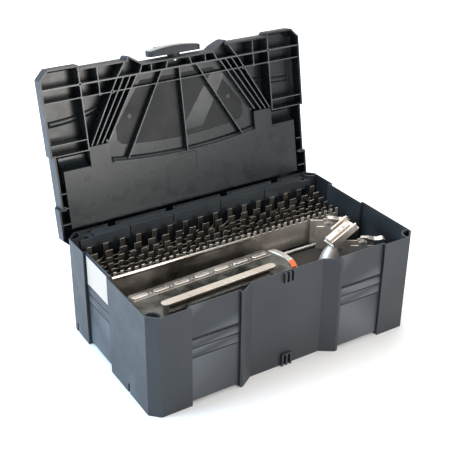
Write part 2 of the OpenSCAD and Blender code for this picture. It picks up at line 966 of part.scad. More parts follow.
module tray_marker() {
    color(orange) with_tray()
    translate([0, 0, tray_top + 1.6])
        linear_extrude(2.2)
        intersection() {
            difference() {
                translate(bow_c) circle(r = bow_r + trim_w - 1, $fn = 96);
                translate(bow_c) circle(r = bow_r + 1, $fn = 96);
            }
            translate([bow_c[0] + 40, bow_c[1] - 38]) square([bow_r, 20]);
        }
}

// Channel section bar, open to the front, with a foot at each end
module tray_grip() {
    h = grip_z - tray_top;
    color("silver") with_tray()
    translate([grip_at[0], grip_at[1], tray_top])
    difference() {
        union() {
            translate([0, 0, h - grip_t])
                linear_extrude(grip_t) rounded_2d(grip_len, grip_w, grip_w / 2 - 0.5);
            translate([0, 0, h - 11]) linear_extrude(2) rounded_2d(grip_len - 8, grip_w, grip_w / 2 - 0.5);
            translate([0, grip_w / 2 - 1.5, h - 6]) cube([grip_len - 16, 2, 10], center = true);
            for (s = [-1, 1]) translate([s * grip_end_x, 0, 0]) cylinder(r = 5, h = h - 1);
        }
        for (s = [-1, 1]) translate([s * grip_end_x, 0, -1]) cylinder(r = 1.5, h = 13);
    }
}

module grip_screws() {
    color(dark_steel) with_tray()
    for (s = [-1, 1])
        translate([grip_at[0] + s * grip_end_x, grip_at[1], tray_top - sheet - 2]) {
            cylinder(r = 1.5, h = 12);
            cylinder(r = 3.4, h = 2);
        }
}

// ---- cradle with the clamps and the pole socket ----

module tool_cradle() {
    color([0.08, 0.07, 0.06])
    translate([cradle[0], cradle[1], floor_z + gap])
        cube([cradle[2] - cradle[0], cradle[3] - cradle[1], cradle_z - floor_z - gap]);
}

module screw_rod() {
    color("silver")
    translate(rod_at) rotate([0, 90, 0]) cylinder(r = 3, h = 92);
}

// A clamp is two jaw plates on a spacer, with a lever on a pin
module clamp_frame(place) {
    translate([place[0], place[1], 0]) rotate(place[2]) children();
}

function jaw_y(place, s) = s * (place[3] + jaw_t) / 2;

module clamp_jaws(place) {
    color(steel) clamp_frame(place)
    difference() {
        for (s = [-1, 1])
            let (top = s > 0 ? jaw_top : jaw_top - jaw_step)
            translate([0, jaw_y(place, s), 0])
            along_y(jaw_t) {
                translate([s > 0 ? -jaw_shift - jaw_w / 2 : -jaw_w / 2, cradle_z])
                    square([jaw_w, top - cradle_z]);
                translate([clamp_pin_x - 7, cradle_z]) square([14, clamp_pin_z + 2 - cradle_z]);
                translate([clamp_pin_x, clamp_pin_z]) circle(r = 4.5);
            }
        translate([clamp_pin_x, 0, clamp_pin_z])
            rotate([90, 0, 0]) cylinder(r = clamp_pin_r, h = 40, center = true);
    }
}

module clamp_spacer(place) {
    color(steel) clamp_frame(place)
    translate([-jaw_shift / 2, 0, cradle_z + 20]) cube([30, place[3], 22], center = true);
}

module clamp_pin(place) {
    pin_len = place[3] + 2 * jaw_t + 2;
    color("silver") clamp_frame(place)
    translate([clamp_pin_x, 0, clamp_pin_z])
        rotate([90, 0, 0]) cylinder(r = clamp_pin_r, h = pin_len, center = true);
}

// A lever is a knuckle between the jaws with a broad curved tongue above them
module clamp_lever(place) {
    color("silver") clamp_frame(place)
    difference() {
        translate([clamp_pin_x, 0, clamp_pin_z]) {
            rotate([90, 0, 0]) cylinder(r = 4, h = place[3] - 1, center = true);
            along_y(place[3] - 1) polygon([[-4, 2], [3, -2.5], [10, 2.5], [10, 8.5], [0, 9], [-4, 7.5]]);
            along_y(lever_w) polygon([[8, 4.9], [18, 2.6], [27, 2.4], [35, 4.5], [36.5, 7], [33, 8.2],
                [26, 6], [19, 6], [8, 8.7]]);
        }
        translate([clamp_pin_x, 0, clamp_pin_z])
            rotate([90, 0, 0]) cylinder(r = clamp_pin_r + rod_fit, h = 40, center = true);
    }
}

module clamp_a_jaws() clamp_jaws(clamp_a);
module clamp_a_spacer() clamp_spacer(clamp_a);
module clamp_a_pin() clamp_pin(clamp_a);
module clamp_a_lever() clamp_lever(clamp_a);
module clamp_b_jaws() clamp_jaws(clamp_b);
module clamp_b_spacer() clamp_spacer(clamp_b);
module clamp_b_pin() clamp_pin(clamp_b);
module clamp_b_lever() clamp_lever(clamp_b);

// The head slopes up from the top of the socket
module with_head() {
    translate(head_at) rotate([0, head_tilt, 0]) children();
}

module head_channel() {
    color(steel) with_head() {
        translate([-6, -14, 2]) cube([head_len, 30, 3]);
        translate([-6, -14, 5]) cube([head_len - 2, 2.5, 12]);
        translate([14, 13.5, 5]) cube([head_len - 20, 2.5, 12]);
    }
}

module head_block() {
    color(steel) with_head() translate([-4, -2, 5]) cube([46, 13, 8]);
}

module head_rivets() {
    color(steel) with_head()
    for (x = [22, 32]) translate([x, 4, 13]) cylinder(r = 3, h = 1.6);
}

module with_socket() {
    with_head() rotate([0, socket_lean, 0]) children();
}

module socket_pin() {
    color("silver") with_socket() translate([0, 0, -13]) cylinder(r = socket_pin_r, h = 16);
}

// Bell that turns on the pin, open at the bottom for a pole
module pole_socket() {
    bore_r = socket_pin_r + rod_fit;
    color(steel) with_socket()
    rotate_extrude()
    polygon([
        [bore_r, -4], [7, -4], [8.5, -5.5], [10.5, -8.5], [13, -13.5], [15.8, -21], [17.4, -28], [18, -35],
        [15.5, -35], [14.6, -28], [11, -18], [bore_r, -18]]);
}

module socket_marker() {
    color(orange)
    translate([head_at[0] - 34, head_at[1] - 34, cradle_z]) cube([14, 14, 10]);
}

base_shell();
hinge_ledge();
hinge_brackets();
hinge_rods();
upper_catch();
lower_catch();
label_card();
lid_shell();
front_ribs();
left_ribs();
right_ribs();
well_ribs();
lid_panel();
handle_plate();
handle_blocks();
handle_screws();
handle_pins();
carry_handle();
latch_lever();
latch_inlay();
latch_spindle();
blade_rack();
blade_1();
blade_2();
blade_3();
blade_4();
blade_5();
blade_6();
smooth_blade();
tray_box();
tray_deck();
tray_rail();
tray_tabs();
tray_rivets();
tray_trim();
tray_marker();
tray_grip();
grip_screws();
tool_cradle();
screw_rod();
clamp_a_jaws();
clamp_a_spacer();
clamp_a_pin();
clamp_a_lever();
clamp_b_jaws();
clamp_b_spacer();
clamp_b_pin();
clamp_b_lever();
head_channel();
head_block();
head_rivets();
socket_pin();
pole_socket();
socket_marker();
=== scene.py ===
import json
import math

import bmesh
import bpy
from mathutils import Matrix, Vector


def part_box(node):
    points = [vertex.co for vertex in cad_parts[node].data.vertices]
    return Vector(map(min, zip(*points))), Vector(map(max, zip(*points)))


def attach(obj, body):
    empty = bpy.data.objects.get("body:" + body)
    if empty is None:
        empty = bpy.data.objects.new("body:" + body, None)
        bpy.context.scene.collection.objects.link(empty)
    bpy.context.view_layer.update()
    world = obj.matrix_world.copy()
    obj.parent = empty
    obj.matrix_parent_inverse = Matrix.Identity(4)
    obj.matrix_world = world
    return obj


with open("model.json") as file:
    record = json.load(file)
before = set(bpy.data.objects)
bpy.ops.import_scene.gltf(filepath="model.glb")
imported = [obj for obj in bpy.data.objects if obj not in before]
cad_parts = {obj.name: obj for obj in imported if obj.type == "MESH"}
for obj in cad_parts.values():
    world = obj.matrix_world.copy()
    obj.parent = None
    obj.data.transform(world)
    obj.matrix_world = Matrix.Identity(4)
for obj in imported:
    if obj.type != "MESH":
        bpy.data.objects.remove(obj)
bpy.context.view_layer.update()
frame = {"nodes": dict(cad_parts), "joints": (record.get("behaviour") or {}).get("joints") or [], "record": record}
NODES = frame["nodes"]

# ---- places, from the frame ----
hinge = next(j for j in frame["joints"] if j["name"] == "lid_hinge")
HINGE = Vector(hinge["pos_m"])
OPEN = -math.radians(hinge["range_deg"][0])
_, (_, HALF_D, RIM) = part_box("base_shell")
LID_IN = Matrix.Translation(HINGE) @ Matrix.Rotation(-OPEN, 4, "X") @ Matrix.Translation(-HINGE)


def in_lid(x, y, z):
    """A point given with the lid shut, where it is with the lid open."""
    return LID_IN @ Vector((x, y, z))


# ---- camera, at the photo's angle ----
CAM_AZ, CAM_EL, CAM_ROLL = math.radians(-32.06), math.radians(27.98), math.radians(0.54)
CAM_DIST = 1.45526
CAM_TARGET = Vector((-0.033, 0.0, 0.2026))
CAM_LENS, CAM_SENSOR = 72.43, 36.0


def make_camera():
    """The camera, turned, tilted and rolled as it was for the photo."""
    level = math.cos(CAM_EL)
    back = Vector((math.sin(CAM_AZ) * level, -math.cos(CAM_AZ) * level, math.sin(CAM_EL)))
    right = (-back).cross(Vector((0, 0, 1))).normalized()
    up = right.cross(-back)
    rolled_right = right * math.cos(CAM_ROLL) + up * math.sin(CAM_ROLL)
    rolled_up = up * math.cos(CAM_ROLL) - right * math.sin(CAM_ROLL)
    data = bpy.data.cameras.new("camera")
    data.lens, data.sensor_width = CAM_LENS, CAM_SENSOR
    cam = bpy.data.objects.new("camera", data)
    bpy.context.scene.collection.objects.link(cam)
    place = Matrix((rolled_right, rolled_up, back)).transposed().to_4x4()
    place.translation = CAM_TARGET + back * CAM_DIST
    cam.matrix_world = place
    bpy.context.scene.camera = cam


# ---- studio ----
SKY_COLOUR, SKY_STRENGTH = (0.97, 0.985, 1.0, 1), 0.60
FLOOR_COLOUR, FLOOR_ROUGHNESS, FLOOR_HALF = (0.95, 0.95, 0.95, 1), 0.7, 9


def make_light(name, place, aim, size, power, colour):
    """A lamp of size (wide, high) that shines from place towards aim."""
    data = bpy.data.lights.new(name, "AREA")
    data.shape = "RECTANGLE"
    data.size, data.size_y = size
    data.energy = power
    data.color = colour
    light = bpy.data.objects.new(name, data)
    bpy.context.scene.collection.objects.link(light)
    light.location = place
    light.rotation_euler = (Vector(aim) - Vector(place)).to_track_quat("-Z", "Y").to_euler()


def make_studio():
    """A white floor under soft light."""
    bpy.context.scene.view_settings.view_transform = "Standard"
    world = bpy.data.worlds.new("studio")
    bpy.context.scene.world = world
    world.use_nodes = True
    sky = world.node_tree.nodes["Background"]
    sky.inputs["Color"].default_value = SKY_COLOUR
    sky.inputs["Strength"].default_value = SKY_STRENGTH
    mesh = bpy.data.meshes.new("floor")
    corners = [(x * FLOOR_HALF, y * FLOOR_HALF, 0) for x, y in ((-1, -1), (1, -1), (1, 1), (-1, 1))]
    mesh.from_pydata(corners, [], [(0, 1, 2, 3)])
    floor = bpy.data.objects.new("floor", mesh)
    bpy.context.scene.collection.objects.link(floor)
    paint = bpy.data.materials.new("floor")
    paint.use_nodes = True
    shader = paint.node_tree.nodes["Principled BSDF"]
    shader.inputs["Base Color"].default_value = FLOOR_COLOUR
    shader.inputs["Roughness"].default_value = FLOOR_ROUGHNESS
    mesh.materials.append(paint)
    # a cool window on the left
    make_light("window", place=(-1.9, 0.62, 0.75), aim=(0, 0, 0.15), size=(1.2, 1.3),
               power=78, colour=(0.54, 0.78, 1.0))
    # two lamps in front, which shine in the lid's plastic
    make_light("strip", place=(0.33, -1.45, 0.52), aim=(0, 0.1, 0.33), size=(0.62, 0.7),
               power=15, colour=(1.0, 0.96, 0.92))
    make_light("glint", place=(0.90, -1.45, 0.42), aim=(0.02, 0.2, 0.4), size=(0.36, 0.45),
               power=2.4, colour=(1.0, 0.98, 0.95))
    # soft light from above, and a wide lamp over the floor behind the case
    make_light("top", place=(0.1, 0.35, 2.4), aim=(0, 0, 0.1), size=(3.0, 1.7),
               power=36, colour=(1.0, 0.97, 0.93))
    make_light("behind", place=(0.9, 2.5, 2.6), aim=(0.9, 2.5, 0), size=(4.0, 3.0),
               power=95, colour=(1.0, 0.98, 0.96))


# ---- materials ----
class Paint:
    """A node material, built up one node at a time."""

    def __init__(self, name):
        self.material = bpy.data.materials.new(name)
        self.material.use_nodes = True
        self.tree = self.material.node_tree
        self.shader = self.tree.nodes["Principled BSDF"]
        self.place = self.node("ShaderNodeTexCoord").outputs["Object"]

    def node(self, kind, **settings):
        made = self.tree.nodes.new(kind)
        for key, value in settings.items():
            setattr(made, key, value)
        return made

    def link(self, a, b):
        self.tree.links.new(a, b)

    def stretched(self, scale, turn=(0, 0, 0)):
        """The place on the piece, scaled along each axis and turned."""
        mapping = self.node("ShaderNodeMapping")
        mapping.inputs["Scale"].default_value = scale
        mapping.inputs["Rotation"].default_value = turn
        self.link(self.place, mapping.inputs["Vector"])
        return mapping.outputs["Vector"]

    def noise(self, scale, detail=3.0, where=None, rough=0.55):
        made = self.node("ShaderNodeTexNoise")
        made.inputs["Scale"].default_value = scale
        made.inputs["Detail"].default_value = detail
        made.inputs["Roughness"].default_value = rough
        self.link(where or self.place, made.inputs["Vector"])
        return made.outputs["Fac"]

    def ramp(self, source, stops):
        made = self.node("ShaderNodeValToRGB")
        ramp = made.color_ramp
        while len(ramp.elements) < len(stops):
            ramp.elements.new(0.5)
        for element, (at, colour) in zip(ramp.elements, stops):
            element.position = at
            element.color = (*colour, 1)
        self.link(source, made.inputs["Fac"])
        return made.outputs["Color"]

    def span(self, source, low, high, from_low=0.0, from_high=1.0):
        """Carries source from the range from_low to from_high over to low to high, and stops there."""
        made = self.node("ShaderNodeMapRange")
        made.inputs["From Min"].default_value = from_low
        made.inputs["From Max"].default_value = from_high
        made.inputs["To Min"].default_value = low
        made.inputs["To Max"].default_value = high
        self.link(source, made.inputs["Value"])
        return made.outputs["Result"]

    def mask(self, source, start, full):
        """0 as far as start, and 1 from full on."""
        return self.span(source, 0, 1, start, full)

    def mix(self, factor, a, b):
        made = self.node("ShaderNodeMix", data_type="RGBA")
        self.link(factor, made.inputs["Factor"])
        for socket, value in ((made.inputs["A"], a), (made.inputs["B"], b)):
            if isinstance(value, tuple):
                socket.default_value = (*value, 1)
            else:
                self.link(value, socket)
        return made.outputs["Result"]

    def math(self, operation, a, b=0.0):
        made = self.node("ShaderNodeMath", operation=operation)
        for socket, value in zip(made.inputs, (a, b)):
            if isinstance(value, (int, float)):
                socket.default_value = value
            else:
                self.link(value, socket)
        return made.outputs["Value"]

    def direction(self):
        """The face's own direction, which turns with its body."""
        return self.node("ShaderNodeTexCoord").outputs["Normal"]

    def inward(self, centre):
        """1 on the faces that look towards centre, and 0 on those that look away."""
        towards = self.node("ShaderNodeVectorMath", operation="SUBTRACT")
        towards.inputs[0].default_value = centre
        self.link(self.place, towards.inputs[1])
        dot = self.node("ShaderNodeVectorMath", operation="DOT_PRODUCT")
        self.link(towards.outputs["Vector"], dot.inputs[0])
        self.link(self.direction(), dot.inputs[1])
        soft = 0.001
        return self.mask(dot.outputs["Value"], -soft, soft)

    def bump(self, source, strength, distance, over=None):
        """Relief from source. The strength is a number or a socket, and over is a relief beneath it."""
        made = self.node("ShaderNodeBump")
        if isinstance(strength, float):
            made.inputs["Strength"].default_value = strength
        else:
            self.link(strength, made.inputs["Strength"])
        made.inputs["Distance"].default_value = distance
        self.link(source, made.inputs["Height"])
        if over is not None:
            self.link(over, made.inputs["Normal"])
        return made.outputs["Normal"]

    def set(self, **sockets):
        """Sets the shader's inputs, each to a number, a colour or a socket."""
        for key, value in sockets.items():
            socket = self.shader.inputs[key.replace("_", " ")]
            if isinstance(value, (int, float)):
                socket.default_value = value
            elif isinstance(value, tuple):
                socket.default_value = (*value, 1)
            else:
                self.link(value, socket)


# the shine of matt and of glossy plastic
MATT_SHINE, INNER_SHINE = 0.24, 0.38
# plain plastic has the glossy shine below this roughness, and a shell's inside above this inner_gloss
GLOSSY_BELOW, GLOSSY_GAIN = 0.4, 0.05

SHELL_DARK, SHELL_LIGHT = (0.026, 0.029, 0.034), (0.033, 0.037, 0.043)
# the inner and lid colours are darker than the shell's: partly painted shade inside the case, partly the dust on
# the grained outside
INNER_SHADED_DARK, INNER_SHADED_LIGHT = (0.020, 0.023, 0.026), (0.028, 0.032, 0.036)
LID_SHADED_DARK, LID_SHADED_LIGHT = (0.009, 0.0125, 0.015), (0.013, 0.018, 0.021)
# the ribs' top colour is a painted highlight, and the other is the colour of scratches
RIB_TOP_HIGHLIGHT, SCRATCH = (0.075, 0.082, 0.088), (0.16, 0.165, 0.17)

# points that the inner faces of the base and of the lid look towards
BASE_MIDDLE = Vector((0, 0, 0.25))
LID_MIDDLE = in_lid(0, 0, RIM - 0.1)


def edge_mask(paint, start, full):
    """A mask on the pointiness, which is above 0.5 on outer edges and below it in hollows."""
    return paint.mask(paint.node("ShaderNodeNewGeometry").outputs["Pointiness"], start, full)


def plastic_colour(paint, dark, light, scuffs):
    """Cloudy colour with paler scuff streaks, and paler edges that are a painted highlight."""
    colour = paint.ramp(paint.noise(scale=9, detail=4), [(0.3, dark), (0.7, light)])
    streaks = paint.noise(scale=18, detail=5, where=paint.stretched((7, 7, 1.2)), rough=0.7)
    scuff_and_edge_highlight = paint.math("MULTIPLY", paint.mask(streaks, 0.62, 0.78), scuffs)
    # painted highlight: outer edges, found by their pointiness, turn paler, on top of the scuff streaks
    edge_highlight = paint.math("MULTIPLY", edge_mask(paint, 0.63, 0.72), 0.5)
    scuff_and_edge_highlight = paint.math("MAXIMUM", scuff_and_edge_highlight, edge_highlight)
    pale = tuple(min(1.0, c * 2.4 + 0.04) for c in light)
    return paint.mix(scuff_and_edge_highlight, colour, pale)


def plastic_surface(paint, roughness, grain):
    """Cloudy roughness, fine grain and slight waves. The grain is a number or a socket."""
    clouds = paint.noise(scale=30, detail=4)
    rough = paint.span(clouds, roughness - 0.06, roughness + 0.07, from_low=0.3, from_high=0.7)
    paint.set(Roughness=rough, Specular_IOR_Level=MATT_SHINE)
    grained = paint.bump(paint.noise(scale=1400, detail=2), strength=grain, distance=0.0004)
    waves = paint.noise(scale=7, detail=3)
    paint.set(Normal=paint.bump(waves, strength=0.12, distance=0.004, over=grained))
    return rough


def moulded_plastic(name, dark, light, roughness, grain, scuffs=0.0):
    """Plain plastic, with the glossy shine if it is smooth."""
    paint = Paint(name)
    paint.set(Base_Color=plastic_colour(paint, dark, light, scuffs))
    plastic_surface(paint, roughness, grain)
    if roughness < GLOSSY_BELOW:
        paint.set(Specular_IOR_Level=INNER_SHINE)
    return paint.material


def rib_plastic(name):
    """The lid's ribs, with a painted highlight that makes their narrow tops paler."""
    paint = Paint(name)
    colour = plastic_colour(paint, LID_SHADED_DARK, LID_SHADED_LIGHT, scuffs=0.05)
    top = paint.node("ShaderNodeVectorMath", operation="DOT_PRODUCT")
    top.inputs[0].default_value = LID_IN.to_3x3() @ Vector((0, 0, -1))
    paint.link(paint.direction(), top.inputs[1])
    # painted highlight: the faces that look out of the lid, the ribs' narrow tops, turn paler
    top_highlight = paint.mask(top.outputs["Value"], 0.3, 0.8)
    paint.set(Base_Color=paint.mix(top_highlight, colour, RIB_TOP_HIGHLIGHT))
    plastic_surface(paint, roughness=0.26, grain=0.03)
    paint.set(Specular_IOR_Level=INNER_SHINE)
    return paint.material


def shell_plastic(name, centre, inner_shaded_dark, inner_shaded_light, inner_gloss):
    """Grained outside, and glossier, with a few scratches, on the faces that look in, which also take darker
    colours, partly as painted shade.
    """
    paint = Paint(name)
    inner = paint.inward(centre)
    outside = plastic_colour(paint, SHELL_DARK, SHELL_LIGHT, scuffs=0.10)
    # painted shade, in part: the faces that look in take the darker inner colours
    inside = plastic_colour(paint, inner_shaded_dark, inner_shaded_light, scuffs=0.08)
    slanted = paint.stretched((1, 0.16, 0.9), turn=(0.5, 0, 0.2))
    lines = paint.noise(scale=55, detail=3, where=slanted, rough=0.6)
    scratches = paint.math("MULTIPLY", paint.mask(lines, 0.70, 0.74), 0.35)
    inside = paint.mix(scratches, inside, SCRATCH)
    paint.set(Base_Color=paint.mix(inner, outside, inside))
    outer_grain, inner_grain = 0.30, 0.02
    grain = paint.span(inner, outer_grain, inner_grain)
    rough = plastic_surface(paint, 0.46, grain)
    paint.set(Roughness=paint.math("SUBTRACT", rough, paint.math("MULTIPLY", inner, inner_gloss)))
    if inner_gloss > GLOSSY_GAIN:
        paint.set(Specular_IOR_Level=paint.span(inner, MATT_SHINE, INNER_SHINE))
    return paint.material


def brushed_colour(paint, along, dark, light, groove):
    """Clouds between dark and light, under brushed lines as dark as groove times dark.

    The lines run along the axis where along is small. Returns the lines, the clouds and the colour.
    """
    brushed = paint.noise(scale=34, detail=5, where=paint.stretched(along), rough=0.65)
    clouds = paint.noise(scale=22, detail=5)
    colour = paint.mix(paint.mask(clouds, 0.32, 0.68), dark, light)
    lines = paint.span(brushed, 0, 0.35, from_low=0.35, from_high=0.7)
    return brushed, clouds, paint.mix(lines, colour, tuple(c * groove for c in dark))


def sheet_steel(name, dark, light, roughness, along=(1, 40, 40), smudges=0.12, speckle=0.0):
    """Brushed steel with smudges, and a fine speckle if one is given."""
    paint = Paint(name)
    brushed, clouds, colour = brushed_colour(paint, along, dark, light, groove=0.62)
    paint.set(Base_Color=colour, Metallic=1.0)
    low, high = roughness - smudges / 2, roughness + smudges
    rough = paint.span(clouds, low, high, from_low=0.35, from_high=0.7)
    rough = paint.math("ADD", rough, paint.span(brushed, -0.04, 0.05, from_low=0.3, from_high=0.7))
    paint.set(Roughness=rough)
    normal = paint.bump(brushed, strength=0.10, distance=0.0006)
    if speckle:
        specks = paint.noise(scale=900, detail=2)
        normal = paint.bump(specks, strength=speckle, distance=0.0006, over=normal)
    paint.set(Normal=normal)
    return paint.material


def blade_steel(name, dark, light, edge):
    """Brushed blade faces, which look along Y, and cut edges of another colour."""
    paint = Paint(name)
    brushed, clouds, colour = brushed_colour(paint, (40, 40, 1), dark, light, groove=0.6)
    parts = paint.node("ShaderNodeSeparateXYZ")
    paint.link(paint.direction(), parts.inputs["Vector"])
    along = paint.math("ABSOLUTE", parts.outputs["Y"])
    cut = paint.span(along, 1, 0, from_low=0.5, from_high=0.8)
    paint.set(Base_Color=paint.mix(cut, colour, edge), Metallic=0.85)
    paint.set(Roughness=paint.span(clouds, 0.30, 0.42, from_low=0.35, from_high=0.7))
    paint.set(Normal=paint.bump(brushed, strength=0.12, distance=0.0006))
    return paint.material


def cast_metal(name):
    """Rough cast metal, with painted shade that darkens its hollows."""
    paint = Paint(name)
    grain = paint.noise(scale=520, detail=3)
    clouds = paint.noise(scale=26, detail=4)
    dark, light, hollow_shade_colour = (0.64, 0.57, 0.50), (0.80, 0.73, 0.66), (0.20, 0.18, 0.16)
    colour = paint.mix(paint.mask(clouds, 0.3, 0.7), dark, light)
    # painted shade: hollows, found by their low pointiness, turn dark
    hollow = edge_mask(paint, 0.49, 0.44)
    paint.set(Base_Color=paint.mix(hollow, colour, hollow_shade_colour), Metallic=0.9)
    paint.set(Roughness=paint.span(grain, 0.42, 0.56, from_low=0.3, from_high=0.7))
    paint.set(Normal=paint.bump(grain, strength=0.22, distance=0.0005))
    return paint.material


def foam(name):
    """Dark foam with open cells."""
    paint = Paint(name)
    cells = paint.node("ShaderNodeTexVoronoi")
    cells.inputs["Scale"].default_value = 700
    paint.link(paint.place, cells.inputs["Vector"])
    dark, light = (0.012, 0.010, 0.009), (0.05, 0.042, 0.036)
    paint.set(Base_Color=paint.ramp(cells.outputs["Distance"], [(0.1, dark), (0.8, light)]))
    paint.set(Roughness=0.92)
    paint.set(Normal=paint.bump(cells.outputs["Distance"], strength=0.5, distance=0.0008))
    return paint.material


def card(name):
    """Smooth pale card with faint fibres."""
    paint = Paint(name)
    fibres = paint.noise(scale=260, detail=4, where=paint.stretched((1, 3, 1)))
    dark, light = (0.345, 0.285, 0.245), (0.39, 0.325, 0.28)
    paint.set(Base_Color=paint.ramp(fibres, [(0.3, dark), (0.7, light)]))
    paint.set(Roughness=paint.span(fibres, 0.38, 0.5))
    paint.set(Normal=paint.bump(fibres, strength=0.05, distance=0.0003))
    return paint.material


# each finish: its maker, and what the maker takes after the name
FINISHES = {
    # shells: the middle, the inside's dark and light colours, darker partly as painted shade, and how much
    # smoother the inside is
    "base_plastic": (shell_plastic, BASE_MIDDLE, INNER_SHADED_DARK, INNER_SHADED_LIGHT, 0.12),
    "lid_plastic": (shell_plastic, LID_MIDDLE, LID_SHADED_DARK, LID_SHADED_LIGHT, 0.18),
    "plate_plastic": (shell_plastic, LID_MIDDLE, (0.006, 0.0075, 0.009), (0.010, 0.012, 0.014), 0.04),
    "rib_plastic": (rib_plastic,),
    # plastics: the dark and light colours, roughness, grain and scuffs
    "shell_plastic": (moulded_plastic, SHELL_DARK, SHELL_LIGHT, 0.46, 0.30, 0.10),
    # these two take the lid's inside colours, darkened partly as painted shade
    "inner_plastic": (moulded_plastic, LID_SHADED_DARK, LID_SHADED_LIGHT, 0.28, 0.05),
    "smooth_plastic": (moulded_plastic, LID_SHADED_DARK, LID_SHADED_LIGHT, 0.13, 0.005, 0.05),
    "ledge_plastic": (moulded_plastic, (0.028, 0.033, 0.037), (0.036, 0.042, 0.047), 0.36, 0.12),
    "catch_plastic": (moulded_plastic, (0.028, 0.031, 0.035), (0.038, 0.042, 0.047), 0.42, 0.2),
    "latch_plastic": (moulded_plastic, (0.30, 0.295, 0.28), (0.36, 0.355, 0.34), 0.32, 0.15),
    "rack_plastic": (moulded_plastic, (0.03, 0.03, 0.033), (0.045, 0.045, 0.05), 0.5, 0.3),
    "orange_plastic": (moulded_plastic, (0.70, 0.11, 0.025), (0.80, 0.15, 0.04), 0.4, 0.2),
    # blades: the dark and light colours, and the colour of the cut edges
    "blade_steel": (blade_steel, (0.12, 0.107, 0.092), (0.20, 0.18, 0.155), (0.50, 0.45, 0.39)),
    "comb_steel": (blade_steel, (0.72, 0.66, 0.58), (0.88, 0.82, 0.74), (0.92, 0.87, 0.80)),
    # sheets: the dark and light colours, roughness, the brushing's scale, smudges and speckle
    "sheet_steel": (sheet_steel, (0.31, 0.27, 0.235), (0.44, 0.39, 0.34), 0.30),
    "plate_steel": (sheet_steel, (0.60, 0.54, 0.48), (0.76, 0.70, 0.62), 0.36, (1, 30, 30), 0.16),
    "deck_steel": (sheet_steel, (0.15, 0.15, 0.135), (0.25, 0.245, 0.22), 0.24, (3, 30, 30), 0.16),
    "rail_steel": (sheet_steel, (0.30, 0.28, 0.25), (0.42, 0.39, 0.36), 0.30, (3, 30, 30), 0.12),
    "grip_steel": (sheet_steel, (0.56, 0.50, 0.44), (0.66, 0.60, 0.53), 0.36, (2, 20, 20), 0.05, 1.0),
    "bright_steel": (sheet_steel, (0.70, 0.645, 0.585), (0.84, 0.79, 0.73), 0.27, (2, 20, 20), 0.1,
                     0.35),
    "plain_steel": (sheet_steel, (0.50, 0.48, 0.46), (0.62, 0.60, 0.58), 0.32),
    "black_steel": (sheet_steel, (0.05, 0.05, 0.052), (0.08, 0.08, 0.082), 0.4),
    "cast_steel": (cast_metal,),
    "cradle_foam": (foam,),
    "card": (card,),
}
# nodes with a finish of their own; the others have the finish named as their slot
NODE_FINISH = {
    "base_shell": "base_plastic", "lid_shell": "lid_plastic", "front_ribs": "rib_plastic",
    "left_ribs": "rib_plastic", "right_ribs": "rib_plastic", "well_ribs": "rib_plastic",
    "lid_panel": "inner_plastic", "hinge_ledge": "ledge_plastic", "hinge_brackets": "ledge_plastic",
    "handle_plate": "plate_plastic", "blade_6": "comb_steel", "smooth_blade": "plate_steel",
    "tray_tabs": "bright_steel", "tray_rivets": "bright_steel", "tray_rail": "rail_steel",
    "tray_grip": "grip_steel",
}


def paint_nodes():
    """Makes every finish, and gives each CAD node its own."""
    made = {name: make(name, *values) for name, (make, *values) in FINISHES.items()}
    for row in frame["record"]["subparts"]:
        mesh = NODES[row["node"]].data
        mesh.materials.clear()
        mesh.materials.append(made[NODE_FINISH.get(row["node"], row["material_slot"])])
    return made


# ---- rounded edges ----
BEVEL_ANGLE = math.radians(35)
CREASE_ANGLE = math.radians(12)
FLAT_ANGLE = math.radians(0.5)
WELD_DISTANCE = 2e-6
# the width of the rounding on the CAD's own pieces, in metres, and on those not named
SMALL_ROUNDING = 0.0002
ROUNDING = {
    "base_shell": 0.0009, "lid_shell": 0.0009, "lid_panel": 0.0016, "hinge_ledge": 0.0006,
    "front_ribs": 0.0006, "left_ribs": 0.0006, "right_ribs": 0.0006, "well_ribs": 0.0006,
    "handle_plate": 0.0005, "handle_blocks": 0.0012, "carry_handle": 0.002, "latch_lever": 0.0012,
    "latch_inlay": 0.0008, "tray_deck": 0.0004, "tray_rail": 0.0005, "tray_tabs": 0.0008,
    "tray_trim": 0.0005, "tray_marker": 0.0006, "tray_grip": 0.0008, "smooth_blade": 0.0003,
    "tool_cradle": 0.002, "clamp_a_jaws": 0.0006, "clamp_b_jaws": 0.0006, "clamp_a_lever": 0.001,
    "clamp_b_lever": 0.001, "head_channel": 0.0007, "head_block": 0.001, "upper_catch": 0.0004,
    "lower_catch": 0.0004, "blade_rack": 0.0006, "socket_marker": 0.001,
}


def mesh_group(name):
    """An empty group of geometry nodes, with a mesh going in and a mesh coming out."""
    group = bpy.data.node_groups.new(name, "GeometryNodeTree")
    group.interface.new_socket("Geometry", in_out="INPUT", socket_type="NodeSocketGeometry")
    group.interface.new_socket("Geometry", in_out="OUTPUT", socket_type="NodeSocketGeometry")
    return group


def link_chain(group, *steps):
    """Passes the mesh through the steps, from the group's input to its output."""
    chain = [group.nodes.new("NodeGroupInput"), *steps, group.nodes.new("NodeGroupOutput")]
    for before, after in zip(chain, chain[1:]):
        group.links.new(before.outputs[0], after.inputs[0])


def weld_group():
    """Joins the triangles' corners and makes every face smooth, so that edges can be rounded."""
    group = mesh_group("weld")
    forget = group.nodes.new("GeometryNodeRemoveAttribute")
    forget.inputs["Name"].default_value = "custom_normal"
    merge = group.nodes.new("GeometryNodeMergeByDistance")
    merge.inputs["Distance"].default_value = WELD_DISTANCE
    link_chain(group, forget, merge, group.nodes.new("GeometryNodeSetShadeSmooth"))
    return group


